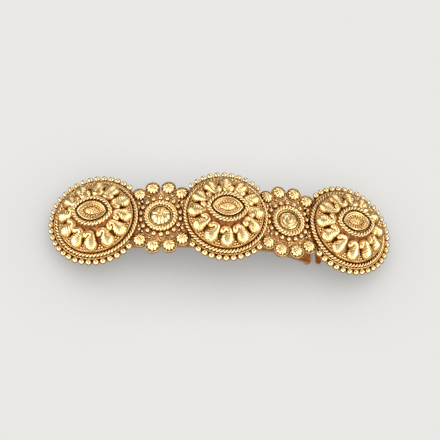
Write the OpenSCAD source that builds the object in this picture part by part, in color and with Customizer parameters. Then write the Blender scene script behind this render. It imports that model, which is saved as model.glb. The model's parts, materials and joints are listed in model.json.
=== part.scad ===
// Arched hair barrette: three round domed medallions and two link flowers
// on a sprung clip. Millimetres, +Z up, resting on z = 0.

/* [Arch] */
// Height of the middle medallion's bead ring above the rest plane
ring_height = 12.6; // [12.4:0.1:13.5]
// Radius of the arch through all the bead rings
arch_r = 111.6; // [111.6:0.1:113]
// Angle along the arch from one motif to the next
motif_step = 8.7; // [8.65:0.01:8.8]

/* [Medallion] */
// Radius of the ring of bead centres
bead_ring_r = 12.36; // [12.34:0.02:12.5]
// Radius of one rim bead
bead_r = 0.84; // [0.7:0.01:0.84]
// Beads in a full ring
beads_per_ring = 40; // [36:4:40]
// Half angle left without beads beside a link flower
bead_gap = 44; // [40:1:50]
// Radius of the rim rope's centre line
rim_rope_r = 10.6; // [10.5:0.02:10.62]
// Thickness of the rim rope
rim_rope_d = 1.2; // [0.8:0.05:1.2]
// Thickness of the fine wire between the rope and the beads
rim_wire_d = 0.36; // [0.3:0.02:0.36]
// Slope of the dome
dome_slope = 25; // [21:0.5:26]
// Paisley leaves on one dome
leaves = 12; // [8:1:12]
// Half width of a leaf's bulb
leaf_half = 2; // [1.6:0.05:2]
// Height of a leaf's bulb above the dome
leaf_rise = 1.9; // [1.3:0.05:1.95]

/* [Eye] */
// Half length of the pointed oval's outer rope, on its centre line
eye_len = 5.05; // [5:0.01:5.1]
// Half width of the pointed oval's outer rope, on its centre line
eye_wid = 3.88; // [3.85:0.01:3.92]
// Height of the eye's platform above the dome
eye_step = 1.05; // [0.8:0.05:1.15]
// Height of the eye's top above the bead ring
eye_top = 6.2; // [6.05:0.05:6.35]

/* [Link flower] */
// Radius of a melon bead
melon_r = 1.8; // [1.5:0.05:1.8]
// Height of a melon bead above the plate
melon_h = 1.5; // [1.2:0.05:1.5]
// Distance of the melon beads from the flower's centre
melon_at = 8.7; // [8.6:0.05:8.8]
// Angles of the melon beads from straight up
melon_angles = [14, 40];
// Radius of the flower's rope on its centre line
flower_rope_r = 3.85; // [3.82:0.01:3.9]
// Thickness of the flower's rope
flower_rope_d = 1.45; // [1:0.05:1.5]
// Radius of the flower's dotted ring
dot_ring_r = 5.36; // [5.3:0.02:5.36]
// Dots in the flower's ring
dots = 18; // [12:2:18]

/* [Clip] */
// Thickness of the clip's sheet metal
sheet = 0.7; // [0.5:0.05:0.7]
// Width of the clip base
base_w = 9; // [8.5:0.1:9.4]
// Half span of the clip base
base_half = 33; // [31:0.5:34]
// Place of the hinge pin along the clip
pin_x = -27.5; // [-27.8:0.1:-27.3]
// Height of the hinge pin
pin_z = 1.5; // [1.5:0.05:1.6]
// Radius of the hinge pin
pin_r = 0.6; // [0.4:0.05:0.6]
// Radial clearance of the arm's knuckles and the prongs' roots
run_gap = 0.05; // [0.02:0.01:0.08]
// Half width of the arm along most of its length
arm_half = 4.6; // [4.4:0.1:5]
// Half width of the arm at its free end
arm_tip_half = 7; // [6.5:0.1:7.2]

/* [Hidden] */
$fn = 48;
// Name, place in steps along the arch, directions of its link flowers, and the turns of its leaves and eye
MEDALLIONS = [["left", -2, [0], -5, -10], ["centre", 0, [0, 180], 0, 0], ["right", 2, [180], 0, 10]];
FLOWERS = [["left", -1], ["right", 1]];
MEDALLION_PARTS = [
    "back_plate", "dome", "rim_beads", "rim_wire", "rim_rope", "leaves", "eye_seat",
    "eye_rope_outer", "eye_rope_inner", "eye_cup", "eye_granules", "eye_boss"
];
FLOWER_PARTS = [
    "link_plate", "melon_beads", "melon_collars", "dot_ring", "link_rope", "button_cup", "button"
];
CLIP_PARTS = [
    "backbone_strip", "clip_base", "hinge_pin", "catch_bridge", "catch_rivet", "spring_rivet",
    "clip_arm", "bow_spring", "catch_prong_front", "catch_prong_rear"
];

GOLD = [0.83, 0.62, 0.27];
PALE_GOLD = [0.9, 0.74, 0.4];
DEEP_GOLD = [0.62, 0.38, 0.14];
CLIP_GOLD = [0.76, 0.55, 0.26];
eps = 0.01;
far = 60;
arch_z = ring_height - arch_r;
plate_t = 0.6;
plate_top = -0.55;
plate_bottom = plate_top - plate_t;

// Medallion heights, from the bead ring's plane
dome_r = rim_rope_r + rim_rope_d / 2;
ledge_z = -0.1;
cone_r = rim_rope_r - rim_rope_d / 2 - 0.02;
cone_z = 1.2;
seat_r = 4.35;
leaf_len = 4.6;
seat_z = cone_z + (cone_r - seat_r) * tan(dome_slope);
shell = 0.5;
step_wall = 0.3;
skirt = 0.8;
eye_base = seat_z + eye_step;
eye_rope_d = 1.05;
inner_rope_d = 0.5;
seat_lip = 0.5;
// How far the inner rope lies inside the outer one, and the cup inside the inner rope
inner_len = eye_len - 0.81;
inner_wid = eye_wid - 0.8;
cup_len = inner_len - 0.35;
cup_wid = inner_wid - 0.36;
cup_wall = 0.3;
cup_floor = 0.3;
cup_h = 0.95;
granule_r = 0.26;
boss_len = 2.6;
boss_wid = 1.3;

// Flower sizes
link_plate_r = 5.85;
collar_r = melon_r + 0.2;
dot_r = 0.62;
link_clear_r = dot_ring_r + dot_r + 0.08;
fill_r = 7.4;
fill_half = 47;
spoke_w = 1.8;
dot_lift = 0.42;
collar_h = 0.35;
button_base = 0.35;
cup_rise = 0.9;
button_r = 2.8;
button_rise = 1.5;
cup_gap = 0.05;
button_wall = 0.2;

// Clip radii about the arch centre, from the outside in
motif_seat_r = arch_r + plate_bottom;
facet_half = motif_step / 2;
base_out_r = motif_seat_r - 0.8;
base_in_r = base_out_r - sheet;
bridge_in_r = base_in_r - sheet;
backbone_w = 10.4;
backbone_end = 21.6;
sewing_hole_r = 0.9;
sewing_hole_x = 31;

// Arm: an arc about its own centre
arm_c = [-2.79, -149.26];
arm_r = 152.53;
arm_start = -25.6;
arm_end = 24.6;
flare_x = 14;
neck_half = 3.5;
knuckle_r = 1.35;
ear_r = pin_z;
ear_out = base_w / 2;
window_x = [20.6, 22.6];
window_half = 3.35;
foot_x = [23, 23.7];
foot_t = 0.7;
tip_r = 1.2;

// Bow spring: an arc about its own centre
bow_c = [-5.22, -134.43];
bow_r = 143.1;
bow_t = 0.4;
bow_w = 5;
bow_x = [-19.2, 17.5];
bow_tab_x = -20.6;
bow_tab_gap = 0.1;
rivet_r = 0.8;
rivet_head_r = 1.5;
rivet_head_t = 0.4;
rivet_slack = 0.02;

// Catch prongs
root_y = 2.65;
root_z = 5.2;
root_r = 0.45;
root_x = [19.8, 27.7];
lug_x = [[20, 20.6], [27, 27.6]];
prong_t = 0.5;
prong_x = [20.9, 26.8];
leg_w = 1.4;
prong_mid_z = 3.4;
barb_z = [0.25, 0.8];
barb_reach = 3.75;
tab_x = [25.3, 26.8];
tab_r = 0.75;
tab_y = 8.2;
tab_z = 2.9;

// Placement on the arch: angle theta from the top, z measured from the bead ring's plane
module on_arch(theta) {
    translate([0, 0, arch_z]) rotate([0, theta, 0]) translate([0, 0, arch_r]) children();
}

// Angle on the arch at which a strip of radius r reaches x
function arch_angle(x, r) = asin(x / r);

// Curved strip about the point centre = [x, z], between two angles from the top
module band(centre, r_in, r_out, from, to, half_w) {
    translate([centre[0], 0, centre[1]]) rotate([90, 0, 0]) rotate([0, 0, 90 - to])
        rotate_extrude(angle = to - from, $fn = 720)
            translate([r_in, -half_w]) square([r_out - r_in, 2 * half_w]);
}

// Everything above the height z, in the current frame
module above(z) {
    translate([-far, -far, z]) cube([2 * far, 2 * far, 2 * far]);
}

// Upper arc's centre offset and radius for a pointed oval of half length a and half width b
function oval_drop(a, b) = (a * a - b * b) / (2 * b);
function oval_r(a, b) = (a * a + b * b) / (2 * b);

module pointed_oval(a, b) {
    intersection() {
        translate([0, -oval_drop(a, b)]) circle(oval_r(a, b), $fn = 128);
        translate([0, oval_drop(a, b)]) circle(oval_r(a, b), $fn = 128);
    }
}

// Wire of thickness d along a pointed oval, with a small knot at each point
module oval_wire(a, b, d) {
    r = oval_r(a, b);
    drop = oval_drop(a, b);
    start = asin(drop / r);
    for (side = [0, 180]) rotate(side) {
        translate([0, -drop]) rotate(start)
            rotate_extrude(angle = 180 - 2 * start, $fn = 128) translate([r, 0]) circle(d / 2, $fn = 32);
        translate([a, 0]) sphere(d * 0.54, $fn = 32);
    }
}

// ---- Medallion pieces, each in its own plane on the arch ----

module link_clearance(step) {
    on_arch(step * motif_step) {
        cylinder(h = 20, r = link_clear_r, center = true);
        melon_places() cylinder(h = 20, r = collar_r + 0.07, center = true);
    }
}

module back_plate(step, gaps) {
    color(DEEP_GOLD) difference() {
        on_arch(step * motif_step) translate([0, 0, plate_bottom])
            cylinder(h = plate_t, r = bead_ring_r - 0.1, $fn = 128);
        for (g = gaps) link_clearance(step + cos(g));
    }
}

module dome(step, gaps) {
    inner_top = seat_z - shell;
    color(DEEP_GOLD) difference() {
        on_arch(step * motif_step) rotate_extrude($fn = 128) polygon([
            [0, inner_top], [seat_r - 0.2, inner_top], [cone_r - step_wall, cone_z - shell],
            [cone_r - step_wall, ledge_z - step_wall], [dome_r - skirt, ledge_z - step_wall],
            [dome_r - skirt, plate_top], [dome_r, plate_top],
            [dome_r, ledge_z], [cone_r, ledge_z], [cone_r, cone_z], [seat_r, seat_z], [0, seat_z]
        ]);
        for (g = gaps) link_clearance(step + cos(g));
    }
}

module rim_beads(gaps) {
    color(PALE_GOLD) for (k = [0:beads_per_ring - 1]) {
        a = k * 360 / beads_per_ring;
        near = min([for (g = gaps) abs((a - g + 540) % 360 - 180)]);
        if (near > bead_gap) rotate(a) translate([bead_ring_r, 0]) intersection() {
            sphere(bead_r, $fn = 24);
            above(plate_top);
        }
    }
}

// Fine wire on the back plate, open where the link flowers reach in
module rim_wire(step, gaps) {
    wire_r = dome_r + 0.02 + rim_wire_d / 2;
    color(GOLD) difference() {
        on_arch(step * motif_step) intersection() {
            translate([0, 0, plate_top + rim_wire_d / 2 - 0.03])
                rotate_extrude($fn = 128) translate([wire_r, 0]) circle(rim_wire_d / 2, $fn = 32);
            above(plate_top);
        }
        for (g = gaps) on_arch((step + cos(g)) * motif_step)
            cylinder(h = 20, r = melon_at + collar_r + 0.1, center = true);
    }
}

module rim_rope() {
    color(GOLD) intersection() {
        translate([0, 0, rim_rope_d / 2 - 0.05 + ledge_z])
            rotate_extrude($fn = 128) translate([rim_rope_r, 0]) circle(rim_rope_d / 2, $fn = 32);
        above(ledge_z);
    }
}

// One leaf on a flat bed: bulb outwards, neck, and a hook that turns aside at the inner end
module leaf() {
    ball_r = (leaf_half * leaf_half + leaf_rise * leaf_rise) / (2 * leaf_rise);
    neck = leaf_len - leaf_half;
    neck_r = 0.95;
    hook_r = 0.7;
    intersection() {
        union() {
            translate([0, 0, leaf_rise - ball_r]) sphere(ball_r, $fn = 48);
            translate([0, 0, 0.1]) rotate([0, -90, 0]) cylinder(h = neck, r1 = 1.2, r2 = neck_r * 0.97);
            translate([-neck, -0.02, 0.1]) sphere(neck_r, $fn = 32);
            translate([-neck + 0.15, -1.05, 0.1]) sphere(hook_r, $fn = 32);
        }
        above(0);
    }
}

module leaves_ring(leaf_turn, eye_turn) {
    leaf_start = leaf_half + 0.12;
    color(PALE_GOLD) difference() {
        for (k = [0:leaves - 1]) rotate(leaf_turn - 90 + k * 360 / leaves)
            translate([cone_r, 0, cone_z]) rotate([0, dome_slope, 0])
                translate([-leaf_start, 0, 0]) leaf();
        translate([0, 0, seat_z - 2]) rotate(eye_turn)
            linear_extrude(4) pointed_oval(eye_len + seat_lip + 0.05, eye_wid + seat_lip + 0.05);
    }
}

module eye_seat() {
    color(DEEP_GOLD) translate([0, 0, seat_z])
        linear_extrude(eye_base - seat_z) pointed_oval(eye_len + seat_lip, eye_wid + seat_lip);
}

module eye_rope(a, b, d) {
    color(GOLD) intersection() {
        translate([0, 0, eye_base + d / 2 - 0.05]) oval_wire(a, b, d);
        above(eye_base);
    }
}

module eye_cup() {
    color(GOLD) translate([0, 0, eye_base]) difference() {
        linear_extrude(cup_h) pointed_oval(cup_len, cup_wid);
        translate([0, 0, cup_floor]) linear_extrude(cup_h)
            pointed_oval(cup_len - cup_wall * 1.3, cup_wid - cup_wall);
    }
}

module eye_granules() {
    a = (cup_len - cup_wall * 1.3 + boss_len) / 2 - 0.02;
    b = (cup_wid - cup_wall + boss_wid) / 2;
    r = oval_r(a, b);
    drop = oval_drop(a, b);
    start = asin(drop / r);
    count = 9;
    color(PALE_GOLD) for (side = [0, 180], k = [0:count - 1]) {
        t = start + (180 - 2 * start) * (k + 0.5) / count;
        rotate(side) translate([r * cos(t), r * sin(t) - drop, eye_base + cup_floor]) intersection() {
            translate([0, 0, 0.12]) sphere(granule_r, $fn = 16);
            above(0);
        }
    }
}

module eye_boss() {
    dish_r = 3.2;
    color(PALE_GOLD) intersection() {
        translate([0, 0, eye_base + cup_floor]) linear_extrude(4) pointed_oval(boss_len, boss_wid);
        translate([0, 0, eye_top - dish_r]) sphere(dish_r, $fn = 96);
    }
}

// ---- Link flower pieces, each in its own plane on the arch ----

module melon_places() {
    for (side = [0, 180], s = [-1, 1], a = melon_angles)
        rotate(side + s * a) translate([0, melon_at]) children();
}

module link_plate() {
    color(DEEP_GOLD) translate([0, 0, plate_bottom]) linear_extrude(plate_t) {
        circle(link_plate_r, $fn = 96);
        for (side = [0, 180]) rotate(side) intersection() {
            circle(fill_r, $fn = 96);
            polygon([[0, 0], [-fill_r * tan(fill_half), fill_r], [fill_r * tan(fill_half), fill_r]]);
        }
        melon_places() circle(collar_r);
        for (side = [0, 180], s = [-1, 1], a = melon_angles)
            rotate(side + s * a) translate([-spoke_w / 2, 0]) square([spoke_w, melon_at]);
    }
}

module melon_beads() {
    ball_r = (melon_r * melon_r + melon_h * melon_h) / (2 * melon_h);
    color(PALE_GOLD) melon_places() intersection() {
        translate([0, 0, plate_top + melon_h - ball_r]) sphere(ball_r);
        above(plate_top);
    }
}

module melon_collars() {
    color(GOLD) melon_places() translate([0, 0, plate_top]) difference() {
        cylinder(h = collar_h, r = collar_r);
        translate([0, 0, -eps]) cylinder(h = 1, r = melon_r + 0.01);
    }
}

module dot_ring() {
    color(PALE_GOLD) for (k = [0:dots - 1])
        rotate((k + 0.5) * 360 / dots) translate([dot_ring_r, 0]) intersection() {
            translate([0, 0, plate_top + dot_lift]) sphere(dot_r, $fn = 24);
            above(plate_top);
        }
}

module link_rope() {
    color(GOLD) intersection() {
        translate([0, 0, plate_top + flower_rope_d / 2 - 0.05])
            rotate_extrude($fn = 96) translate([flower_rope_r, 0]) circle(flower_rope_d / 2, $fn = 32);
        above(plate_top);
    }
}

module button_cup() {
    color(GOLD) translate([0, 0, plate_top]) difference() {
        cylinder(h = cup_rise, r = button_r + cup_gap + button_wall);
        translate([0, 0, -eps]) cylinder(h = 2, r = button_r + cup_gap);
    }
}

module button() {
    ball_r = (button_r * button_r + button_rise * button_rise) / (2 * button_rise);
    shoulder = plate_top + button_base;
    color(PALE_GOLD) {
        translate([0, 0, plate_top]) cylinder(h = button_base, r = button_r);
        intersection() {
            translate([0, 0, shoulder + button_rise - ball_r]) sphere(ball_r, $fn = 96);
            above(shoulder);
        }
    }
}

// ---- Clip ----

// Strip that carries the motifs: a flat seat under each one, a true arc underneath
module backbone_strip() {
    corner_r = motif_seat_r / cos(facet_half);
    end_r = motif_seat_r / cos(backbone_end - 2 * motif_step);
    outline = concat(
        [for (a = [[-backbone_end, 105], [-backbone_end, end_r]]) [a[1] * sin(a[0]), a[1] * cos(a[0])]],
        [for (k = [-1.5:1:1.5]) corner_r * [sin(k * motif_step), cos(k * motif_step)]],
        [for (a = [[backbone_end, end_r], [backbone_end, 105]]) [a[1] * sin(a[0]), a[1] * cos(a[0])]]
    );
    color(DEEP_GOLD) difference() {
        translate([0, backbone_w / 2, arch_z]) rotate([90, 0, 0])
            linear_extrude(backbone_w) polygon(outline);
        translate([0, 0, arch_z]) rotate([90, 0, 0])
            cylinder(h = base_w * 2, r = base_out_r, center = true, $fn = 720);
    }
}

module rivet_holes(theta) {
    on_arch(theta) translate([0, 0, -4]) cylinder(h = 8, r = rivet_r, center = true);
}

spring_rivet_a = arch_angle(bow_tab_x, base_in_r);
catch_rivet_a = arch_angle(24, base_in_r);

// Ear that holds the hinge pin, seen from the side
module ear_outline() {
    translate([pin_x, pin_z]) circle(ear_r);
    polygon([[pin_x - ear_r, pin_z], [pin_x + ear_r, pin_z], [pin_x + 2.2, 8.5], [pin_x - 3, 8.5]]);
}

module clip_base() {
    end_a = arch_angle(base_half, base_out_r);
    color(CLIP_GOLD) difference() {
        union() {
            band([0, arch_z], base_in_r, base_out_r, -end_a, end_a, base_w / 2);
            intersection() {
                for (y = [ear_out, sheet - ear_out]) translate([0, y, 0]) rotate([90, 0, 0])
                    linear_extrude(sheet) ear_outline();
                translate([0, 0, arch_z]) rotate([90, 0, 0])
                    cylinder(h = 40, r = base_out_r - 0.3, center = true, $fn = 720);
            }
        }
        translate([pin_x, 0, pin_z]) rotate([90, 0, 0]) cylinder(h = 40, r = pin_r, center = true);
        for (x = [-sewing_hole_x, sewing_hole_x]) on_arch(arch_angle(x, base_in_r))
            translate([0, 0, -3]) cylinder(h = 8, r = sewing_hole_r, center = true);
        for (a = [spring_rivet_a, catch_rivet_a]) rivet_holes(a);
    }
}

module hinge_pin() {
    head_t = 0.3;
    color(CLIP_GOLD) translate([pin_x, 0, pin_z]) rotate([90, 0, 0]) {
        cylinder(h = 2 * ear_out, r = pin_r, center = true);
        for (s = [-1, 1]) translate([0, 0, s * (ear_out + head_t / 2)])
            cylinder(h = head_t, r = pin_r + 0.4, center = true);
    }
}

// Plate riveted under the base, with two lugs that carry the prongs' roots
module catch_bridge() {
    lug_half = root_y + root_r + 0.4;
    color(CLIP_GOLD) difference() {
        union() {
            band([0, arch_z], bridge_in_r, base_in_r, arch_angle(lug_x[0][0] - 0.4, bridge_in_r),
                arch_angle(lug_x[1][1] + 0.4, base_in_r), lug_half + 0.2);
            intersection() {
                for (x = lug_x) translate([x[0], -lug_half, root_z - root_r - 0.5])
                    cube([x[1] - x[0], 2 * lug_half, 8]);
                translate([0, 0, arch_z]) rotate([90, 0, 0])
                    cylinder(h = 40, r = base_in_r - 0.3, center = true, $fn = 720);
            }
        }
        for (y = [-root_y, root_y]) translate([15, y, root_z]) rotate([0, 90, 0])
            cylinder(h = 20, r = root_r + run_gap);
        rivet_holes(catch_rivet_a);
    }
}

// Rivet through the base: shank, and a head at the depth grip under the base
module rivet(theta, grip) {
    base_top = base_out_r - arch_r;
    color(CLIP_GOLD) on_arch(theta) translate([0, 0, base_top - sheet - grip]) {
        cylinder(h = grip + sheet - 0.1, r = rivet_r);
        translate([0, 0, -rivet_head_t]) cylinder(h = rivet_head_t, r = rivet_head_r);
    }
}

module arm_outline() {
    polygon([
        [arm_start, -arm_half], [flare_x, -arm_half], [foot_x[0] + 0.4, -arm_tip_half],
        [foot_x[0] + 0.4, arm_tip_half], [flare_x, arm_half], [arm_start, arm_half]
    ]);
    translate([pin_x, -neck_half]) square([arm_start - pin_x + eps, 2 * neck_half]);
    translate([foot_x[0] + 0.4 - eps, -arm_tip_half + tip_r])
        square([arm_end - foot_x[0] - 0.4 + eps, 2 * (arm_tip_half - tip_r)]);
    for (s = [-1, 1]) translate([arm_end - tip_r, s * (arm_tip_half - tip_r)]) circle(tip_r);
}

module clip_arm() {
    knuckle_y = [1.5, neck_half];
    color(CLIP_GOLD) difference() {
        union() {
            intersection() {
                union() {
                    band(arm_c, arm_r - sheet / 2, arm_r + sheet / 2,
                        asin((pin_x + 1 - arm_c[0]) / arm_r), asin((foot_x[1] - arm_c[0]) / arm_r), 9);
                    translate([foot_x[0], -9, 0]) cube([arm_end - foot_x[0], 18, foot_t]);
                    translate([foot_x[0], -9, 0]) cube([foot_x[1] - foot_x[0], 18, 1.2]);
                }
                linear_extrude(20, center = true) arm_outline();
            }
            for (s = [-1, 1]) translate([pin_x, s * (knuckle_y[0] + knuckle_y[1]) / 2, pin_z])
                rotate([90, 0, 0]) cylinder(h = knuckle_y[1] - knuckle_y[0], r = knuckle_r, center = true);
        }
        translate([pin_x, 0, pin_z]) rotate([90, 0, 0]) cylinder(h = 40, r = pin_r + run_gap, center = true);
        translate([pin_x - 3, -knuckle_y[0], -3]) cube([5.2, 2 * knuckle_y[0], 9]);
        translate([window_x[0], -window_half, -5]) cube([window_x[1] - window_x[0], 2 * window_half, 10]);
    }
}

// Bowed strip that presses the hair against the arm, with a riveted tab at the hinge end
module bow_spring() {
    tab_r = base_in_r - bow_tab_gap;
    color(CLIP_GOLD) difference() {
        union() {
            band(bow_c, bow_r - bow_t / 2, bow_r + bow_t / 2, asin((bow_x[0] - bow_c[0]) / bow_r),
                asin((bow_x[1] - bow_c[0]) / bow_r), bow_w / 2);
            band([0, arch_z], tab_r - bow_t, tab_r, arch_angle(bow_tab_x - 2, tab_r),
                arch_angle(bow_x[0] + 0.4, tab_r), bow_w / 2);
        }
        on_arch(spring_rivet_a) translate([0, 0, -4]) cylinder(h = 8, r = rivet_r + 0.1, center = true);
    }
}

// One spring prong: root rod, plate, barbed leg and squeeze tab. side = 1 is the rear one
module catch_prong(side) {
    inner = root_y - prong_t / 2;
    outer = root_y + prong_t / 2;
    color(CLIP_GOLD) mirror([0, side > 0 ? 0 : 1, 0]) {
        translate([root_x[0], root_y, root_z]) rotate([0, 90, 0])
            cylinder(h = root_x[1] - root_x[0], r = root_r);
        translate([prong_x[0], inner, prong_mid_z])
            cube([prong_x[1] - prong_x[0], prong_t, root_z - prong_mid_z]);
        translate([prong_x[0], 0, 0]) rotate([90, 0, 90]) linear_extrude(leg_w) polygon([
            [inner, prong_mid_z + eps], [inner, barb_z[0]], [outer, barb_z[0]],
            [barb_reach, barb_z[1] - 0.2], [barb_reach, barb_z[1]], [outer, barb_z[1]],
            [outer, prong_mid_z + eps]
        ]);
        translate([tab_x[0], inner, tab_z]) cube([tab_x[1] - tab_x[0], tab_y - inner - tab_r, prong_t]);
        translate([tab_x[0], inner, tab_z]) cube([tab_x[1] - tab_x[0], prong_t, root_z - tab_z]);
        translate([(tab_x[0] + tab_x[1]) / 2, tab_y - tab_r, tab_z]) cylinder(h = prong_t, r = tab_r);
    }
}

for (m = MEDALLIONS) {
    at = m[1] * motif_step;
    eye_turn = m[4];
    back_plate(m[1], m[2]);
    dome(m[1], m[2]);
    on_arch(at) rim_beads(m[2]);
    rim_wire(m[1], m[2]);
    on_arch(at) rim_rope();
    on_arch(at) leaves_ring(m[3], eye_turn);
    on_arch(at) rotate(eye_turn) eye_seat();
    on_arch(at) rotate(eye_turn) eye_rope(eye_len, eye_wid, eye_rope_d);
    on_arch(at) rotate(eye_turn) eye_rope(inner_len, inner_wid, inner_rope_d);
    on_arch(at) rotate(eye_turn) eye_cup();
    on_arch(at) rotate(eye_turn) eye_granules();
    on_arch(at) rotate(eye_turn) eye_boss();
}
for (f = FLOWERS) {
    at = f[1] * motif_step;
    on_arch(at) link_plate();
    on_arch(at) melon_beads();
    on_arch(at) melon_collars();
    on_arch(at) dot_ring();
    on_arch(at) link_rope();
    on_arch(at) button_cup();
    on_arch(at) button();
}
backbone_strip();
clip_base();
hinge_pin();
catch_bridge();
rivet(catch_rivet_a, sheet + rivet_slack);  // catch_rivet
rivet(spring_rivet_a, bow_t + 2 * bow_tab_gap);  // spring_rivet
clip_arm();
bow_spring();
catch_prong(-1);  // catch_prong_front
catch_prong(1);  // catch_prong_rear
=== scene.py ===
"""The barrette's looks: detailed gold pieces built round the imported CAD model, in one frame.

Lengths in the sizes below are millimetres; every Blender object is in metres.
A motif is one medallion or link flower, modelled flat in its own plane and then set on the arch."""

import json
import math

import bmesh
import bpy
import numpy as np
from mathutils import Matrix, Vector

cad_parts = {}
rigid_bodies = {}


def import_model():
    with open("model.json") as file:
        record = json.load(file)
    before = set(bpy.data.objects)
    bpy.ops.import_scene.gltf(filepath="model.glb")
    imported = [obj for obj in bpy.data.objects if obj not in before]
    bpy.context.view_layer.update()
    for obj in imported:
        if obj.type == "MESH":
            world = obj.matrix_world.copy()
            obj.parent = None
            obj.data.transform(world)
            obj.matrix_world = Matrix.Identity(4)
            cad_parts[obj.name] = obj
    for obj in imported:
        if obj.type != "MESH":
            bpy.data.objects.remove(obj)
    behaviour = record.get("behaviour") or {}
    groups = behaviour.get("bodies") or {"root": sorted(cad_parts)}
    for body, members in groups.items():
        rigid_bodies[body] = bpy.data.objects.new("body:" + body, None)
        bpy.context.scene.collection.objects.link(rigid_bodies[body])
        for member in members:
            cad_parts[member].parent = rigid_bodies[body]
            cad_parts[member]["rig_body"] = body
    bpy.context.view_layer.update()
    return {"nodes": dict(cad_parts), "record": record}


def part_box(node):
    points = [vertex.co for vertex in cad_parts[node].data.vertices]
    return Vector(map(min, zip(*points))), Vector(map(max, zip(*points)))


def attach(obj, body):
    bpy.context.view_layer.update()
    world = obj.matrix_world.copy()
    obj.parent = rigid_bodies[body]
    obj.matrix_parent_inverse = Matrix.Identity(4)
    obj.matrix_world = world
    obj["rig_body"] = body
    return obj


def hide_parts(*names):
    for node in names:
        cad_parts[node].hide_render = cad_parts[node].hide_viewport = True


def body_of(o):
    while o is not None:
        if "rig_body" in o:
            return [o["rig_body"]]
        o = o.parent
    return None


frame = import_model()

MM = 0.001
FRONT = "decorated_front"
ALL_ROUND = 2 * math.pi

# Sizes down to the camera are the CAD model's, or stay just inside it. First, the arch
ARCH_R = 111.6
STEP = math.radians(8.7)
# Height of the motifs' plates, and of the middle medallion's own plane above the floor
PLATE_TOP = -0.55
RING_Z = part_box("centre_back_plate")[1].z / MM - PLATE_TOP

# A medallion's rim: beads and wire are left out by a link flower, for this many degrees either side
BEAD_RING_R = 12.36
BEAD_R = 0.84
BEADS = 40
BEAD_GAP = 44
WIRE_R = 11.36
WIRE_D = 0.56
WIRE_GAP = 39
ROPE_R = 10.6
ROPE_D = 1.2
LEDGE_Z = -0.1

# Its dome: a cone from the edge up to the eye's seat, with the leaves round it
CONE_R = 9.98
CONE_Z = 1.2
SLOPE = math.radians(25)
SEAT_R = 4.35
SEAT_Z = CONE_Z + (CONE_R - SEAT_R) * math.tan(SLOPE)
LEAVES = 12
LEAF_HALF = 2.0
LEAF_RISE = 1.9

# Its eye: the platform's top, the whole eye's top, and (half length, half width) of each pointed oval
EYE_BASE = SEAT_Z + 1.05
EYE_TOP = 6.2
SEAT_OVAL = (5.52, 4.4)
OUTER_ROPE_OVAL = (5.03, 3.88)
OUTER_ROPE_D = 1.16
INNER_ROPE_OVAL = (4.2, 3.02)
INNER_ROPE_D = 0.44
CUP_OVAL = (4.0, 2.75)
GRANULE_OVAL = (2.55, 1.62)
BOSS_OVAL = (2.2, 1.18)

# A link flower
MELON_R = 1.8
MELON_H = 1.5
MELON_AT = 8.7
MELON_ANGLES = (14, 40)
DOT_RING_R = 5.36
DOT_R = 0.62
DOTS = 18
LINK_ROPE_R = 3.85
LINK_ROPE_D = 1.45
BUTTON_R = 2.8

# Fine twisted wire laid on the plates and round the melon beads
FINE_WIRE_D = 0.3

# Place along the arch, directions of the link flowers, and the turns of the leaves and the eye
MEDALLIONS = {
    "left": (-2, (0,), -5, -10),
    "centre": (0, (0, 180), 0, 0),
    "right": (2, (180,), 0, 10),
}
FLOWERS = {"left": -1, "right": 1}
SHEET_METAL = (
    "backbone_strip", "clip_base", "catch_bridge", "clip_arm", "catch_prong_front", "catch_prong_rear",
    "left_link_plate", "right_link_plate", "left_back_plate", "centre_back_plate", "right_back_plate",
)

rng = np.random.default_rng(7)


# ---- Camera ----

def camera(azimuth, elevation, roll, distance, field, shift_right, shift_up):
    """A camera at those angles round the middle medallion, in degrees and millimetres.

    field: the width seen at that distance. The shifts carry the medallion right and up in the picture.
    """
    a, e, r = (math.radians(x) for x in (azimuth, elevation, roll))
    back = Vector((math.sin(a) * math.cos(e), -math.cos(a) * math.cos(e), math.sin(e)))
    level = Vector((math.cos(a), math.sin(a), 0))
    above = back.cross(level)
    right = math.cos(r) * level + math.sin(r) * above
    up = math.cos(r) * above - math.sin(r) * level
    cam = bpy.data.objects.new("camera", bpy.data.cameras.new("camera"))
    bpy.context.scene.collection.objects.link(cam)
    cam.data.lens = cam.data.sensor_width * distance / field
    cam.data.clip_start, cam.data.clip_end = 0.01, 10
    target = Vector((0, 0, RING_Z))
    place = target + back * distance - right * shift_right - up * shift_up
    turn = Matrix((right, up, back)).transposed().to_4x4()
    cam.matrix_world = Matrix.Translation(place * MM) @ turn
    bpy.context.scene.camera = cam


camera(azimuth=-13.85, elevation=60.68, roll=14.45, distance=388, field=115.3,
       shift_right=1.39, shift_up=1.0)


# ---- Materials ----

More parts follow.
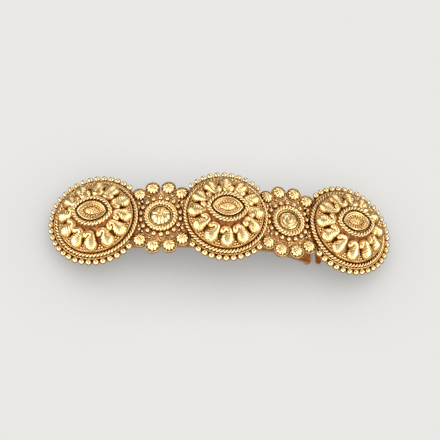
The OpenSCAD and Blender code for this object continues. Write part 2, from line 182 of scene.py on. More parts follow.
def gold(name, body, recess, crest, rough, relief=True, *, grain=900, grain_depth, brushed=False):
    """Antique gold: recess colour in hollows (painted shade, patina), body between, crest on high parts
    (wear, painted highlight).

    rough: roughness where the wear-and-shading value is high and where it is low. relief: the mesh has a
    crest value that is 0 in its grooves and 1 on its high parts. brushed: the fine grain is drawn out into
    streaks along X.
    """
    mat = bpy.data.materials.new(name)
    mat.use_nodes = True
    nodes, links = mat.node_tree.nodes, mat.node_tree.links
    shader = nodes["Principled BSDF"]
    shader.inputs["Metallic"].default_value = 1.0

    def node(kind, **settings):
        made = nodes.new(kind)
        for key, value in settings.items():
            setattr(made, key, value)
        return made

    def maths(operation, a, b, clamp=True):
        made = node("ShaderNodeMath", operation=operation, use_clamp=clamp)
        for socket, value in zip(made.inputs, (a, b)):
            if isinstance(value, (int, float)):
                socket.default_value = value
            else:
                links.new(value, socket)
        return made.outputs[0]

    def mix(factor, a, b):
        made = node("ShaderNodeMix", data_type="RGBA")
        links.new(factor, made.inputs["Factor"])
        for socket, value in ((made.inputs["A"], a), (made.inputs["B"], b)):
            if isinstance(value, tuple):
                socket.default_value = (*value, 1)
            else:
                links.new(value, socket)
        return made.outputs["Result"]

    def noise(scale, detail, stretch=(1, 1, 1)):
        mapping = node("ShaderNodeMapping")
        links.new(place.outputs["Object"], mapping.inputs["Vector"])
        mapping.inputs["Scale"].default_value = stretch
        made = node("ShaderNodeTexNoise")
        made.inputs["Scale"].default_value = scale
        made.inputs["Detail"].default_value = detail
        links.new(mapping.outputs[0], made.inputs["Vector"])
        return made.outputs[0]

    # Wear and painted shade: the value is high where the metal stands proud and open, with soft patches over
    # it
    place = node("ShaderNodeTexCoord")
    patches = noise(260, 4)
    fine = noise(grain, 3)
    # Ambient occlusion darkens the colour in hollows and between pieces: painted shade
    shade = node("ShaderNodeAmbientOcclusion", samples=8)
    shade.inputs["Distance"].default_value = 1.6 * MM
    openness = maths("POWER", shade.outputs["AO"], 1.5)
    if relief:
        height = node("ShaderNodeAttribute", attribute_name="crest").outputs["Fac"]
    else:
        height = maths("ADD", maths("MULTIPLY", patches, 0.5), 0.35)
    wear_and_shading = maths("MULTIPLY", openness, maths("ADD", maths("MULTIPLY", height, 0.75), 0.3))
    patchy_wear_and_shading = maths("ADD", wear_and_shading, maths("MULTIPLY", maths("SUBTRACT", patches, 0.5, False), 0.35, False))

    # Colour runs from recess (painted shade) to body over low values, and on to crest (wear, painted
    # highlight) over high
    deep = mix(maths("MULTIPLY", patchy_wear_and_shading, 1.7), recess, body)
    high = maths("MULTIPLY", maths("SUBTRACT", patchy_wear_and_shading, 0.55), 1.6)
    links.new(mix(high, deep, crest), shader.inputs["Base Color"])

    # Worn metal is smoother
    dull = maths("SUBTRACT", 1.0, patchy_wear_and_shading)
    spread = maths("MULTIPLY", dull, rough[1] - rough[0])
    streaks = maths("MULTIPLY", noise(1500, 2, (0.06, 1, 1)) if brushed else fine, 0.14)
    links.new(maths("ADD", maths("ADD", spread, rough[0] - 0.06), streaks), shader.inputs["Roughness"])

    bump = node("ShaderNodeBump")
    bump.inputs["Strength"].default_value = grain_depth
    bump.inputs["Distance"].default_value = 0.05 * MM
    links.new(maths("ADD", fine, streaks if brushed else patches, False), bump.inputs["Height"])
    links.new(bump.outputs[0], shader.inputs["Normal"])
    return mat


# Crest colours PALE and WARM stand for wear and painted highlight; AMBER and UMBER are painted shade and
# patina
PALE = (1.0, 0.84, 0.48)
WARM = (0.92, 0.62, 0.24)
AMBER = (0.26, 0.085, 0.012)
UMBER = (0.26, 0.085, 0.015)
SPRING_COLOURS = ((0.88, 0.6, 0.3), (0.5, 0.26, 0.1), (0.98, 0.78, 0.46))
GOLDS = {
    "bead_gold": gold("bead_gold", (1.0, 0.72, 0.33), (0.55, 0.24, 0.05), PALE, (0.26, 0.42),
                      grain_depth=0.05),
    "rope_gold": gold("rope_gold", (0.98, 0.68, 0.3), AMBER, PALE, (0.3, 0.5), grain_depth=0.05),
    "leaf_gold": gold("leaf_gold", (1.0, 0.7, 0.3), AMBER, PALE, (0.27, 0.45), grain_depth=0.06),
    "melon_gold": gold("melon_gold", (1.0, 0.72, 0.33), AMBER, PALE, (0.2, 0.42), grain_depth=0.05),
    "setting_gold": gold("setting_gold", (0.98, 0.68, 0.3), AMBER, PALE, (0.24, 0.45), grain_depth=0.06),
    # recess_gold and plate_gold are darker: painted shade on the plates and parts set down between the pieces
    "recess_gold": gold("recess_gold", (0.66, 0.32, 0.11), UMBER, WARM, (0.35, 0.6), False,
                        grain=500, grain_depth=0.5),
    "plate_gold": gold("plate_gold", (0.9, 0.57, 0.29), (0.38, 0.15, 0.04), WARM, (0.3, 0.55), False,
                       grain_depth=0.4),
    "clip_gold": gold("clip_gold", (0.95, 0.64, 0.33), (0.6, 0.3, 0.11), (1.0, 0.8, 0.5), (0.24, 0.42), False,
                      grain_depth=0.08, brushed=True),
    "spring_gold": gold("spring_gold", *SPRING_COLOURS, (0.2, 0.36), False, grain_depth=0.06, brushed=True),
    "pin_gold": gold("pin_gold", *SPRING_COLOURS, (0.18, 0.34), False, grain_depth=0.08),
}


# ---- Mesh helpers: a part is (points, faces, crest values) ----

def quads(nu, nv, wrap_u=False, wrap_v=False, first=0):
    """Faces of a grid of nu by nv points."""
    u = np.arange(nu if wrap_u else nu - 1)[:, None]
    v = np.arange(nv if wrap_v else nv - 1)[None, :]
    u1, v1 = (u + 1) % nu, (v + 1) % nv
    corners = [u * nv + v, u1 * nv + v, u1 * nv + v1, u * nv + v1]
    grid = np.stack([np.broadcast_to(c, (len(u), v.shape[1])) for c in corners], -1)
    return (grid.reshape(-1, 4) + first).tolist()


def joined(parts):
    """Several parts as one."""
    points, faces, crest, first = [], [], [], 0
    for p, f, c in parts:
        points.append(p)
        crest.append(c)
        faces.extend([[i + first for i in face] for face in f])
        first += len(p)
    return np.concatenate(points), faces, np.concatenate(crest)


def moved(part, x=0.0, y=0.0, z=0.0, turn=0.0):
    """A part turned about Z in degrees, then shifted."""
    p, f, c = part
    a = math.radians(turn)
    spin = np.array([[math.cos(a), -math.sin(a), 0], [math.sin(a), math.cos(a), 0], [0, 0, 1]])
    return p @ spin.T + (x, y, z), f, c


def around(part, radius, degrees):
    """A part carried out along X and then turned about the motif's axis."""
    return moved(moved(part, x=radius), turn=degrees)


def disc(rings, spokes, surface, floor):
    """A closed piece with a flat floor, from surface(t, angle) -> (x, y, z, crest).

    t runs from 0 at the centre to 1 at the edge.
    """
    t = np.repeat(np.linspace(0, 1, rings + 1)[1:], spokes)
    angle = np.tile(np.arange(spokes) * ALL_ROUND / spokes, rings)
    top = np.stack(np.broadcast_arrays(*surface(t, angle)), -1).reshape(-1, 4)
    centre = np.stack(np.broadcast_arrays(*surface(np.zeros(1), np.zeros(1))), -1).reshape(1, 4)
    edge = top[-spokes:].copy()
    edge[:, 2] = floor
    under = edge[:1].copy()
    under[0, :3] = (*edge[:, :2].mean(0), floor)
    rows = np.concatenate([centre, top, edge, under])
    fan = [[0, 1 + j, 1 + (j + 1) % spokes] for j in range(spokes)]
    last = len(rows) - 1
    start = last - spokes
    base = [[last, start + (j + 1) % spokes, start + j] for j in range(spokes)]
    return rows[:, :3], fan + quads(rings + 1, spokes, wrap_v=True, first=1) + base, rows[:, 3]


def unit(v):
    """Vectors brought to length 1."""
    return v / np.linalg.norm(v, axis=-1, keepdims=True)


def directions(path, closed):
    """The direction of a path at each of its points."""
    return unit(np.roll(path, -1, 0) - np.roll(path, 1, 0)) if closed else unit(np.gradient(path, axis=0))


def tube(path, outward, radius, sides=8, closed=True):
    """A tube along a path; the crest is on the side that faces outward."""
    along = directions(path, closed)
    e1 = unit(outward - (outward * along).sum(1, keepdims=True) * along)
    e2 = np.cross(along, e1)
    a = np.arange(sides) * ALL_ROUND / sides
    ring = np.cos(a)[None, :, None] * e1[:, None] + np.sin(a)[None, :, None] * e2[:, None]
    points = path[:, None] + radius * ring
    # The crest is low on the side facing away: painted shade between wires and under rims
    crest = np.broadcast_to((0.5 + 0.5 * np.cos(a)) ** 1.3, (len(path), sides))
    faces = quads(len(path), sides, closed, True)
    if not closed:
        faces += [list(range(sides)), list(range((len(path) - 1) * sides, len(path) * sides))]
    return points.reshape(-1, 3), faces, np.clip(crest, 0, 1).reshape(-1)


def even(path, count, closed=True):
    """A path again, with that many evenly spaced points."""
    whole = np.concatenate([path, path[:1]]) if closed else path
    run = np.concatenate([[0], np.cumsum(np.linalg.norm(np.diff(whole, axis=0), axis=1))])
    at = np.linspace(0, run[-1], count, endpoint=not closed)
    return np.stack([np.interp(at, run, whole[:, k]) for k in range(3)], -1)


def rope(path, diameter, turns, hand=1, per_turn=12, sides=8, closed=True):
    """Two wires twisted together along a nearly flat path that runs anticlockwise. hand: 1 or -1."""
    path = even(path, turns * per_turn, closed)
    along = directions(path, closed)
    up = np.array([0.0, 0.0, 1.0])
    out = unit(np.cross(along, up))
    phase = hand * np.arange(len(path)) * ALL_ROUND / per_turn
    wires = []
    for start in (0, math.pi):
        off = np.cos(phase + start)[:, None] * out + np.sin(phase + start)[:, None] * up
        wires.append(tube(path + off * diameter / 4, off, diameter * 0.255, sides, closed=closed))
    return joined(wires)


def arc(radius, z, start, end, count=360):
    """Part of a circle between two directions in degrees."""
    a = np.radians(np.linspace(start, end, count))
    return np.stack([radius * np.cos(a), radius * np.sin(a), np.full(count, z)], -1)


def circle(radius, z, count=720):
    """A closed circle at height z."""
    a = np.arange(count) * ALL_ROUND / count
    return np.stack([radius * np.cos(a), radius * np.sin(a), np.full(count, z)], -1)


def pointed_oval(half_len, half_wid, z, blunt=0.66, count=720):
    """An oval with a soft point at each end of X."""
    a = np.arange(count) * ALL_ROUND / count
    y = half_wid * np.sign(np.sin(a)) * np.abs(np.sin(a)) ** (2 * blunt)
    return np.stack([half_len * np.cos(a), y, np.full(count, z)], -1)


def smooth_path(points, count):
    """A smooth curve through the points (Catmull-Rom)."""
    p = np.array(points, float)
    p = np.concatenate([[2 * p[0] - p[1]], p, [2 * p[-1] - p[-2]]])
    s = np.linspace(0, len(p) - 3 - 1e-9, count)
    i = s.astype(int)
    t = (s - i)[:, None]
    a, b, c, d = p[i], p[i + 1], p[i + 2], p[i + 3]
    bend = (2 * a - 5 * b + 4 * c - d) * t ** 2
    return 0.5 * (2 * b + (c - a) * t + bend + (3 * b - a - 3 * c + d) * t ** 3)


def ball(radius, rings=10, spokes=18):
    """A sphere, paler on its upper half (wear, painted highlight) and darker underneath (painted shade)."""
    a = np.linspace(0, math.pi, rings + 1)[1:-1, None]
    b = np.arange(spokes)[None] * ALL_ROUND / spokes
    body = np.stack(np.broadcast_arrays(np.sin(a) * np.cos(b), np.sin(a) * np.sin(b), np.cos(a)), -1)
    points = np.concatenate([[[0, 0, 1]], body.reshape(-1, 3), [[0, 0, -1]]])
    last = len(points) - 1
    first = last - spokes
    faces = [[0, 1 + j, 1 + (j + 1) % spokes] for j in range(spokes)]
    faces += quads(rings - 1, spokes, wrap_v=True, first=1)
    faces += [[last, first + (j + 1) % spokes, first + j] for j in range(spokes)]
    return points * radius, faces, np.clip(0.75 + 0.5 * points[:, 2], 0, 1)


# ---- Pieces ----

def on_arch(step):
    """Where a motif's own plane lies, step places from the middle."""
    middle = RING_Z - ARCH_R
    return (Matrix.Translation((0, 0, middle)) @ Matrix.Rotation(step * STEP, 4, "Y")
            @ Matrix.Translation((0, 0, ARCH_R)))


def outward_faces(mesh):
    """Turns every face to look out of its solid."""
    bm = bmesh.new()
    bm.from_mesh(mesh)
    bmesh.ops.recalc_face_normals(bm, faces=bm.faces)
    bm.to_mesh(mesh)
    bm.free()


def piece(name, part, step, material, *nodes, sharp=60):
    """A Blender object from a part in a motif's plane, standing for those CAD nodes."""
    points, faces, crest = part
    turn = np.array(on_arch(step))
    points = (points @ turn[:3, :3].T + turn[:3, 3]) * MM
    mesh = bpy.data.meshes.new(name)
    mesh.from_pydata(points.tolist(), [], faces)
    # The crest values feed the gold's colour: painted shade where low, wear and painted highlight where high
    mesh.attributes.new("crest", "FLOAT", "POINT").data.foreach_set("value", crest.astype(np.float32))
    outward_faces(mesh)
    mesh.shade_smooth()
    mesh.set_sharp_from_angle(angle=math.radians(sharp))
    mesh.materials.append(GOLDS[material])
    made = bpy.data.objects.new(name, mesh)
    bpy.context.scene.collection.objects.link(made)
    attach(made, FRONT)
    if nodes:
        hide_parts(*nodes)


def rim_beads(gaps):
    """Polished beads round the rim, apart from where a link flower lies."""
    parts = []
    for k in range(BEADS):
        degrees = k * 360 / BEADS
        clear = min(abs((degrees - gap + 540) % 360 - 180) for gap in gaps)
        if clear > BEAD_GAP:
            size = BEAD_R * rng.uniform(0.95, 0.985)
            bead = moved(ball(size), z=rng.uniform(-0.03, 0.03))
            parts.append(around(bead, BEAD_RING_R, degrees + rng.uniform(-0.2, 0.2)))
    return joined(parts)


def rim_wire(gaps):
    """Fine twisted wire on the back plate, from one link flower round to the next."""
    reach = 360 / len(gaps) - 2 * WIRE_GAP
    wire_z = 0.12
    degrees_per_turn = 4.5
    parts = []
    for gap in gaps:
        path = arc(WIRE_R, wire_z, gap + WIRE_GAP, gap + WIRE_GAP + reach)
        turns = int(reach / degrees_per_turn)
        parts.append(rope(path, WIRE_D, turns, per_turn=8, sides=6, closed=False))
    return joined(parts)


def leaf(length, rib_pitch, rib_depth=0.075):
    """A mango-shaped leaf on a flat bed: bulb out along +X, hook turned to -Y at the inner end."""
    across = 17
    # Spine points (x, y) with the leaf's half width and height there: the bulb, the neck, then the hook
    spine = smooth_path([
        (1.98, 0.0, 0.0, 0.4), (1.8, 0.0, 0.9, 1.1), (1.2, 0.0, 1.62, 1.62),
        (0.25, 0.0, LEAF_HALF, LEAF_RISE), (-0.7, 0.14, 1.84, 1.84), (-1.5, 0.36, 1.4, 1.62),
        (-2.15, 0.5, 1.04, 1.42), (-2.7, 0.32, 0.9, 1.36), (-2.95, -0.16, 0.84, 1.4),
        (-2.85, -0.7, 0.88, 1.5), (-2.5, -1.1, 0.94, 1.6), (-2.05, -1.25, 0.9, 1.5),
        (-1.65, -1.27, 0.55, 1.1), (-1.42, -1.25, 0.04, 0.3),
    ], 176)
    spine[:, 0] *= length
    flat = spine[:, :2]
    run = np.concatenate([[0], np.cumsum(np.linalg.norm(np.diff(flat, axis=0), axis=1))])
    along = unit(np.gradient(flat, run, axis=0))
    side = np.stack([-along[:, 1], along[:, 0]], -1)
    wide = np.maximum(spine[:, 2], 0.02)[:, None]
    tall = np.maximum(spine[:, 3], 0.1)[:, None]
    a = np.linspace(0, math.pi, across)[None]
    q, rise = np.cos(a), np.sin(a) ** 0.9
    # Chased ribs bow back at the sides, and fade out on the narrow hook and at the foot
    reach = run[:, None] + 0.35 * np.abs(q) * wide
    groove = (0.5 + 0.5 * np.cos(reach * ALL_ROUND / rib_pitch)) ** 3
    fade = np.clip(rise * 1.8 - 0.2, 0, 1) * np.clip((wide - 0.85) / 0.4, 0, 1)
    sunk = rib_depth * groove * fade
    x = flat[:, :1] + side[:, :1] * q * (wide - sunk)
    y = flat[:, 1:] + side[:, 1:] * q * (wide - sunk)
    z = rise * (tall - sunk)
    z = np.where(np.sin(a) < 1e-6, -0.06, z)
    # The crest is low at the foot and in the rib grooves, painted shade there, and high along the top
    crest = np.clip(0.2 + 0.8 * rise - 0.9 * groove * fade, 0, 1)
    points = np.stack(np.broadcast_arrays(x, y, z), -1).reshape(-1, 3)
    count = len(spine)
    faces = quads(count, across, wrap_v=True)
    faces.append(list(range(across)))
    faces.append(list(range(count * across - 1, (count - 1) * across - 1, -1)))
    return points, faces, crest.reshape(-1)


def leaves():
    """The ring of leaves, each lying on the slope of the dome."""
    parts = []
    tilt = np.array(Matrix.Rotation(SLOPE, 3, "Y"))
    for k in range(LEAVES):
        points, faces, crest = leaf(rng.uniform(0.97, 1.03), rng.uniform(0.5, 0.6))
        points, faces, crest = moved((points, faces, crest), x=-LEAF_HALF - 0.1, turn=rng.uniform(-1, 5))
        points = points @ tilt.T + (CONE_R, 0, CONE_Z)
        parts.append(moved((points, faces, crest), turn=-90 + k * 360 / LEAVES + rng.uniform(-1, 1)))
    return joined(parts)


def melon(lobes, depth=0.26):
    """A fluted half bead: round petals that spread from a small dimple on top."""

    def surface(t, angle):
        lean = t * math.pi / 2
        petal = np.abs(np.cos(lobes * angle / 2)) ** 0.55
        inner = np.clip((t - 0.1) / 0.25, 0, 1)
        cut = depth * (1 - petal) * inner
        dimple = np.exp(-(t / 0.1) ** 2)
        r = MELON_R * np.sin(lean) - cut * np.sin(lean) ** 2
        z = PLATE_TOP + MELON_H * np.cos(lean) - cut * np.cos(lean) - 0.1 * dimple
        # The crest is low in the flutes and in the dimple: painted shade there
        return r * np.cos(angle), r * np.sin(angle), z, 1 - (1 - petal) * inner - 0.7 * dimple

    points, faces, crest = disc(18, lobes * 8, surface, PLATE_TOP - 0.02)
    return points, faces, np.clip(crest, 0, 1)


def melon_places():
    """Directions of the eight melon beads, four on each long side."""
    return [side + sign * a for side in (0, 180) for sign in (-1, 1) for a in MELON_ANGLES]


def melon_beads():
    """Eight fluted beads, each with its own number of lobes."""
    parts = []
    for degrees in melon_places():
        bead = moved(melon(int(rng.integers(9, 12))), turn=rng.uniform(0, 36))
        parts.append(moved(moved(bead, y=MELON_AT), turn=degrees))
    return joined(parts)


def melon_collars():
    """A fine twisted wire round the foot of each melon bead."""
    foot = circle(MELON_R + 0.1, PLATE_TOP + 0.17, 144)
    wire = rope(foot, FINE_WIRE_D, turns=15, per_turn=8, sides=6)
    return joined([moved(moved(wire, y=MELON_AT), turn=degrees) for degrees in melon_places()])


def granule(size, **place):
    """A tiny ball of metal at that place."""
    return moved(ball(size, 8, 12), **place)


def link_trim():
    """Granules, V-shaped wires and fine wire arcs between the dots and the melon beads."""
    parts = []
    half_vee = np.array([[-0.95, 6.15, 0], [-0.5, 6.75, 0]])
    vee = np.concatenate([half_vee, [[0, 7.3, 0]], half_vee[::-1] * (-1, 1, 1)])
    path = even(vee, 24, False)
    path[:, 2] = PLATE_TOP + 0.13
    wire = tube(path, np.broadcast_to((0.0, 0.0, 1.0), path.shape), FINE_WIRE_D / 2, closed=False)
    for side in (0, 180):
        parts.append(moved(wire, turn=side))
        parts.append(moved(granule(0.3, y=6.3, z=PLATE_TOP + 0.16), turn=side))
        for degrees in (-27, 27):
            parts.append(moved(granule(0.34, y=6.8, z=PLATE_TOP + 0.2), turn=side + degrees))
        for corner in (-1, 1):
            for degrees, r, size in ((34, 6.85, 0.42), (42, 6.55, 0.3), (26, 6.45, 0.28)):
                spot = granule(size, x=r, z=PLATE_TOP + 0.62)
                parts.append(moved(spot, turn=side + corner * degrees))
        path = arc(6.2, PLATE_TOP + 0.12, side + 46, side + 134, 120)
        parts.append(rope(path, FINE_WIRE_D, turns=15, per_turn=8, sides=6, closed=False))
    return joined(parts)


def dot_ring():
    """A ring of dots round the link flower's rope."""
    parts = []
    for k in range(DOTS):
        dot = moved(ball(DOT_R * rng.uniform(0.97, 1.0), 8, 14), z=PLATE_TOP + 0.42)
        parts.append(around(dot, DOT_RING_R, (k + 0.5) * 360 / DOTS + rng.uniform(-0.8, 0.8)))
    return joined(parts)


def leaf_trim():
    """Granules in threes between the leaves, and a fine twisted wire along the dome's edge."""
    edge = circle(CONE_R - 0.28, CONE_Z + 0.24)
    parts = [rope(edge, diameter=0.46, turns=50, per_turn=8, sides=6)]
    for k in range(LEAVES):
        for r, y, size in ((9.2, -0.36, 0.34), (9.2, 0.36, 0.34), (8.65, 0.0, 0.32)):
            spot = granule(size, x=r, y=y, z=CONE_Z + (CONE_R - r) * math.tan(SLOPE) + 0.15)
            parts.append(moved(spot, turn=-90 + (k + 0.5) * 360 / LEAVES))
    return joined(parts)


def button(petals, spiral):
    """A domed button: petals round a small middle, or a spiral ridge."""
    rise = 1.6
    shoulder = PLATE_TOP + 0.35
    flute_depth = 0.24
    windings = 3.2

    def surface(t, angle):
        bowl = shoulder + rise * (1 - t ** 2) ** 0.62
        if spiral:
            turn = windings * t - angle / ALL_ROUND
            high = 0.5 + 0.5 * np.cos(turn * ALL_ROUND)
            high = np.where(t < 0.12, 1, high) * (0.8 + 0.2 * np.cos(petals * angle) * (t > 0.6))
        else:
            high = np.abs(np.cos(petals * angle / 2 + t)) ** 0.7
            high = 1 - (1 - high) * np.clip((t - 0.18) / 0.1, 0, 1) - np.exp(-((t - 0.2) / 0.05) ** 2)
        cut = flute_depth * (1 - high) * np.clip((1 - t) / 0.1, 0, 1)
        r = BUTTON_R * t
        # The crest is low in the cut grooves: painted shade there
        return r * np.cos(angle), r * np.sin(angle), bowl - cut, np.clip(1 - 4 * cut, 0, 1)

    return disc(36, 120, surface, PLATE_TOP)


def button_cup():
    """Plain collar round the button, with a rolled lip, a thin band and a foot."""
    rim = circle(BUTTON_R + 0.14, PLATE_TOP + 0.8, 96)
    lip = tube(rim, np.broadcast_to((0.0, 0.0, 1.0), rim.shape), 0.12, 10)
    band = tube(rim - (0, 0, 0.32), unit(rim * (1, 1, 0)), 0.1, 4)
    foot = tube(rim - (0, 0, 0.66), unit(rim * (1, 1, 0)), 0.12, 8)
    return joined([lip, band, foot])


def spoke_of(angle, spokes):
    """Which of a disc's spokes lie at those angles."""
    return np.rint(angle / ALL_ROUND * spokes).astype(int) % spokes


def eye_seat():
    """Platform under the eye, with a concave side that spreads on to the dome."""
    spokes = 120
    long, wide = SEAT_OVAL
    edge = pointed_oval(1, 1, 0, count=spokes)
    # Fraction of the way out where the flat top ends, and how far the side spreads and sinks below it
    flat_to = 0.7
    foot_spread = 0.75
    foot_drop = EYE_BASE - SEAT_Z + 0.5

    def surface(t, angle):
        spoke = spoke_of(angle, spokes)
        fall = np.clip((t - flat_to) / 0.3, 0, 1)
        out = np.where(t < flat_to, t / flat_to, 1)
        spread = foot_spread * fall ** 2.5
        z = EYE_BASE - foot_drop * fall
        # The crest falls down the platform's side: painted shade there
        return edge[spoke, 0] * (long * out + spread), edge[spoke, 1] * (wide * out + spread), z, 1 - fall

    return disc(30, spokes, surface, SEAT_Z - 0.55)


def eye_cup():
    """Pointed bowl with two smooth rims."""
    spokes = 96
    # Fraction out from the middle, and height above the platform: the bed, the inner rim, then the outer
    profile = np.array([
        (0.0, 0.3), (0.6, 0.3), (0.66, 0.34), (0.70, 0.5), (0.735, 0.62), (0.775, 0.64), (0.805, 0.56),
        (0.83, 0.5), (0.86, 0.56), (0.885, 0.78), (0.915, 0.92), (0.95, 0.95), (0.98, 0.88), (1.0, 0.74),
        (1.0, 0.4), (1.0, 0.0),
    ])
    rows = np.arange(len(profile))
    edge = pointed_oval(*CUP_OVAL, 0, 0.72, spokes)

    def surface(t, angle):
        row = t * (len(profile) - 1)
        out = np.interp(row, rows, profile[:, 0])
        high = np.interp(row, rows, profile[:, 1])
        spoke = spoke_of(angle, spokes)
        # The crest is low on the bowl's bed and high on the rims: painted shade in the bowl
        return edge[spoke, 0] * out, edge[spoke, 1] * out, EYE_BASE + high, np.clip(high / 0.9 + 0.1, 0, 1)

    return disc(45, spokes, surface, EYE_BASE - 0.02)


def eye_granules():
    """A ring of granules on the cup's bed, round the boss."""
    parts = []
    for x, y, _ in even(pointed_oval(*GRANULE_OVAL, 0, 0.72), 18):
        parts.append(moved(ball(rng.uniform(0.24, 0.27), 6, 10), x, y, EYE_BASE + 0.42))
    return joined(parts)


def eye_boss():
    """A small oval flower, with a granule and a ring of finer ones in its middle."""
    petals = 10
    spokes = petals * 10
    edge = pointed_oval(*BOSS_OVAL, 0, 0.7, spokes)
    base, rise = EYE_BASE + 0.3, EYE_TOP - EYE_BASE - 0.45

    def surface(t, angle):
        spoke = spoke_of(angle, spokes)
        petal = np.abs(np.cos(petals * angle / 2)) ** 0.6
        cut = (1 - petal) * np.clip((t - 0.2) / 0.2, 0, 1)
        dome = base + rise * (1 - t ** 2.2) ** 0.8 * (1 - 0.3 * cut)
        # The crest is low between the petals and at the edge: painted shade there
        return edge[spoke, 0] * t, edge[spoke, 1] * t, dome, np.clip(0.9 - 0.8 * cut - 0.3 * t ** 4, 0, 1)

    middle = moved(ball(0.34, 8, 14), z=EYE_TOP - 0.34)
    ring = [moved(ball(0.16, 6, 10), x, y, base + rise * 0.9)
            for x, y, _ in even(pointed_oval(0.72, 0.52, 0, 0.55), 9)]
    return joined([disc(16, spokes, surface, base - 0.02), middle, *ring])


def medallion(side, step, gaps, leaf_turn, eye_turn):
    """All of one medallion's pieces, set on the arch at that step."""

    def add(part_name, part, material, turn=0, **more):
        node = f"{side}_{part_name}"
        piece(f"{node}_fine", moved(part, turn=turn), step, material, node, **more)

    add("rim_beads", rim_beads(gaps), "bead_gold")
    add("rim_wire", rim_wire(gaps), "rope_gold")
    rim = circle(ROPE_R, LEDGE_Z + ROPE_D / 2 - 0.03)
    add("rim_rope", rope(rim, ROPE_D, turns=35), "rope_gold")
    add("leaves", leaves(), "leaf_gold", leaf_turn, sharp=75)
    piece(f"{side}_leaf_trim", moved(leaf_trim(), turn=leaf_turn), step, "bead_gold")
    add("eye_seat", eye_seat(), "plate_gold", eye_turn)
    outer = pointed_oval(*OUTER_ROPE_OVAL, EYE_BASE + 0.52)
    add("eye_rope_outer", rope(outer, OUTER_ROPE_D, turns=14), "rope_gold", eye_turn)
    inner = pointed_oval(*INNER_ROPE_OVAL, EYE_BASE + 0.14)
    add("eye_rope_inner", rope(inner, INNER_ROPE_D, turns=18, hand=-1), "rope_gold", eye_turn)
    add("eye_cup", eye_cup(), "setting_gold", eye_turn)
    add("eye_granules", eye_granules(), "bead_gold", eye_turn)
    add("eye_boss", eye_boss(), "leaf_gold", eye_turn)


def link_flower(side, step):
    """All of one link flower's pieces, set on the arch at that step."""

    def add(part_name, part, material):
        node = f"{side}_{part_name}"
        piece(f"{node}_fine", part, step, material, node)

    add("melon_beads", melon_beads(), "melon_gold")
    add("melon_collars", melon_collars(), "setting_gold")
    add("dot_ring", dot_ring(), "bead_gold")
    ring = circle(LINK_ROPE_R, PLATE_TOP + LINK_ROPE_D / 2 - 0.03)
    add("link_rope", rope(ring, LINK_ROPE_D, turns=14), "rope_gold")
    add("button_cup", button_cup(), "setting_gold")
    add("button", button(9, spiral=side == "right"), "melon_gold")
    piece(f"{side}_link_trim", link_trim(), step, "bead_gold")


def bevelled(name, material, width=0.1):
    """A stand-in for a sheet metal CAD node, with its edges rounded off."""
    node = frame["nodes"][name]
    bm = bmesh.new()
    bm.from_mesh(node.data)
    bm.transform(node.matrix_world)
    bmesh.ops.remove_doubles(bm, verts=bm.verts, dist=0.0005 * MM)
    bmesh.ops.dissolve_limit(bm, angle_limit=math.radians(0.2), verts=bm.verts, edges=bm.edges)
    corners = [e for e in bm.edges if e.is_manifold and e.calc_face_angle(0) > math.radians(30)]
    bmesh.ops.bevel(bm, geom=corners, offset=width * MM, offset_type="OFFSET", segments=2, profile=0.5,
                    affect="EDGES", clamp_overlap=True)
    mesh = bpy.data.meshes.new(f"{name}_fine")
    bm.to_mesh(mesh)
    bm.free()
    mesh.shade_smooth()
    mesh.set_sharp_from_angle(angle=math.radians(18))
    mesh.materials.append(GOLDS[material])
    made = bpy.data.objects.new(mesh.name, mesh)
    bpy.context.scene.collection.objects.link(made)
    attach(made, body_of(node)[0])
    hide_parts(name)


for side, (step, gaps, leaf_turn, eye_turn) in MEDALLIONS.items():
    medallion(side, step, gaps, leaf_turn, eye_turn)
for side, step in FLOWERS.items():
    link_flower(side, step)

# CAD nodes that stay take the gold of their slot; the clip's sheet metal gets rounded edges
slots = {part["node"]: part["material_slot"] for part in frame["record"]["subparts"]}
for name, node in frame["nodes"].items():
    node.data.materials.clear()
    node.data.materials.append(GOLDS[slots[name]])
for name in SHEET_METAL:
    bevelled(name, slots[name])


# ---- Studio ----

def soft_light(name, place, aim, size, watts):
    """A softbox of that width and height at place, turned to aim; all in metres."""
    lamp = bpy.data.objects.new(name, bpy.data.lights.new(name, "AREA"))
    bpy.context.scene.collection.objects.link(lamp)
    lamp.data.shape = "RECTANGLE"
    lamp.data.size, lamp.data.size_y = size
    lamp.data.energy = watts
    lamp.location = place
    lamp.rotation_mode = "QUATERNION"
    lamp.rotation_quaternion = (Vector(aim) - Vector(place)).to_track_quat("-Z", "Y")


def contact_shadow(material):
    """A floor that is clear but for the soft shadow round what stands on it."""
    material.use_nodes = True
    nodes, links = material.node_tree.nodes, material.node_tree.links
    nodes.remove(nodes["Principled BSDF"])
    near = nodes.new("ShaderNodeAmbientOcclusion")
    near.samples = 16
    near.inputs["Distance"].default_value = 22 * MM
    dark = nodes.new("ShaderNodeMath")
    dark.operation = "SUBTRACT"
    dark.inputs[0].default_value = 1.0
    links.new(near.outputs["AO"], dark.inputs[1])
    soft = nodes.new("ShaderNodeMath")
    soft.operation = "MULTIPLY"
    soft.inputs[1].default_value = 0.85
    links.new(dark.outputs[0], soft.inputs[0])
    clear = nodes.new("ShaderNodeBsdfTransparent")
    shade = nodes.new("ShaderNodeEmission")
    shade.inputs["Color"].default_value = (0.09, 0.075, 0.06, 1)
    mixed = nodes.new("ShaderNodeMixShader")
    links.new(soft.outputs[0], mixed.inputs["Fac"])
    links.new(clear.outputs[0], mixed.inputs[1])
    links.new(shade.outputs[0], mixed.inputs[2])
    links.new(mixed.outputs[0], nodes["Material Output"].inputs["Surface"])


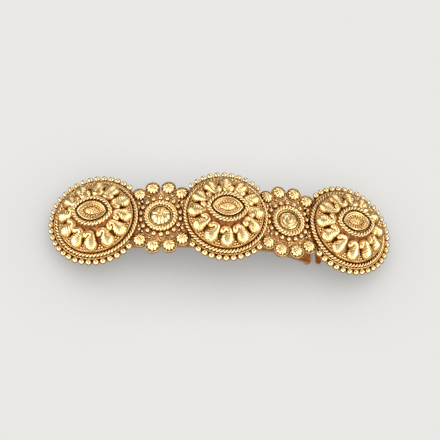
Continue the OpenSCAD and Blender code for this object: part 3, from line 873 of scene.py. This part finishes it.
def pale_floor():
    """The floor, at the height of the rest plane."""
    half = 0.5
    corners = [(-half, -half, 0), (half, -half, 0), (half, half, 0), (-half, half, 0)]
    mesh = bpy.data.meshes.new("floor")
    mesh.from_pydata(corners, [], [(0, 1, 2, 3)])
    floor = bpy.data.objects.new("floor", mesh)
    bpy.context.scene.collection.objects.link(floor)
    floor_shadow_paint = bpy.data.materials.new("floor_painted_shadow")
    # Its material paints a soft contact shadow from ambient occlusion: painted shadow on a clear floor
    contact_shadow(floor_shadow_paint)
    mesh.materials.append(floor_shadow_paint)
    floor.visible_glossy = False
    floor.visible_shadow = False


def room():
    """A room that is pale to the eye, and dim and warm in the gold's reflections."""
    world = bpy.data.worlds.new("studio")
    world.use_nodes = True
    nodes, links = world.node_tree.nodes, world.node_tree.links
    path = nodes.new("ShaderNodeLightPath")
    tone = nodes.new("ShaderNodeMix")
    tone.data_type = "RGBA"
    links.new(path.outputs["Is Camera Ray"], tone.inputs["Factor"])
    compass = nodes.new("ShaderNodeTexCoord")
    heading = nodes.new("ShaderNodeSeparateXYZ")
    links.new(compass.outputs["Generated"], heading.inputs[0])
    sky = nodes.new("ShaderNodeValToRGB")
    links.new(heading.outputs["Z"], sky.inputs["Fac"])
    low, high = sky.color_ramp.elements
    low.position, low.color = 0.0, (0.3, 0.25, 0.19, 1)
    high.position, high.color = 0.9, (0.26, 0.22, 0.17, 1)
    sky.color_ramp.elements.new(0.35).color = (0.14, 0.12, 0.09, 1)
    links.new(sky.outputs["Color"], tone.inputs["A"])
    tone.inputs["B"].default_value = (0.82, 0.81, 0.79, 1)
    links.new(tone.outputs["Result"], nodes["Background"].inputs["Color"])
    bpy.context.scene.world = world


def studio():
    """Floor, room and softboxes: two strong ones at the sides, and four weaker ones to fill in."""
    pale_floor()
    room()
    centre = (0, 0, 0.012)
    soft_light("left_softbox", (-0.53, -0.15, 0.24), centre, (0.9, 0.36), 3.9)
    soft_light("right_softbox", (0.45, -0.17, 0.36), centre, (0.9, 0.36), 3.5)
    soft_light("back_softbox", (0.05, 0.55, 0.3), centre, (0.5, 0.25), 0.8)
    soft_light("high_softbox", (0.05, 0.35, 0.6), centre, (0.4, 0.3), 0.5)
    soft_light("front_softbox", (-0.08, -0.35, 0.6), centre, (0.3, 0.3), 0.35)
    soft_light("low_softbox", (0.0, -0.6, 0.12), centre, (0.6, 0.2), 1.3)


studio()
bpy.context.scene.view_settings.view_transform = "Standard"
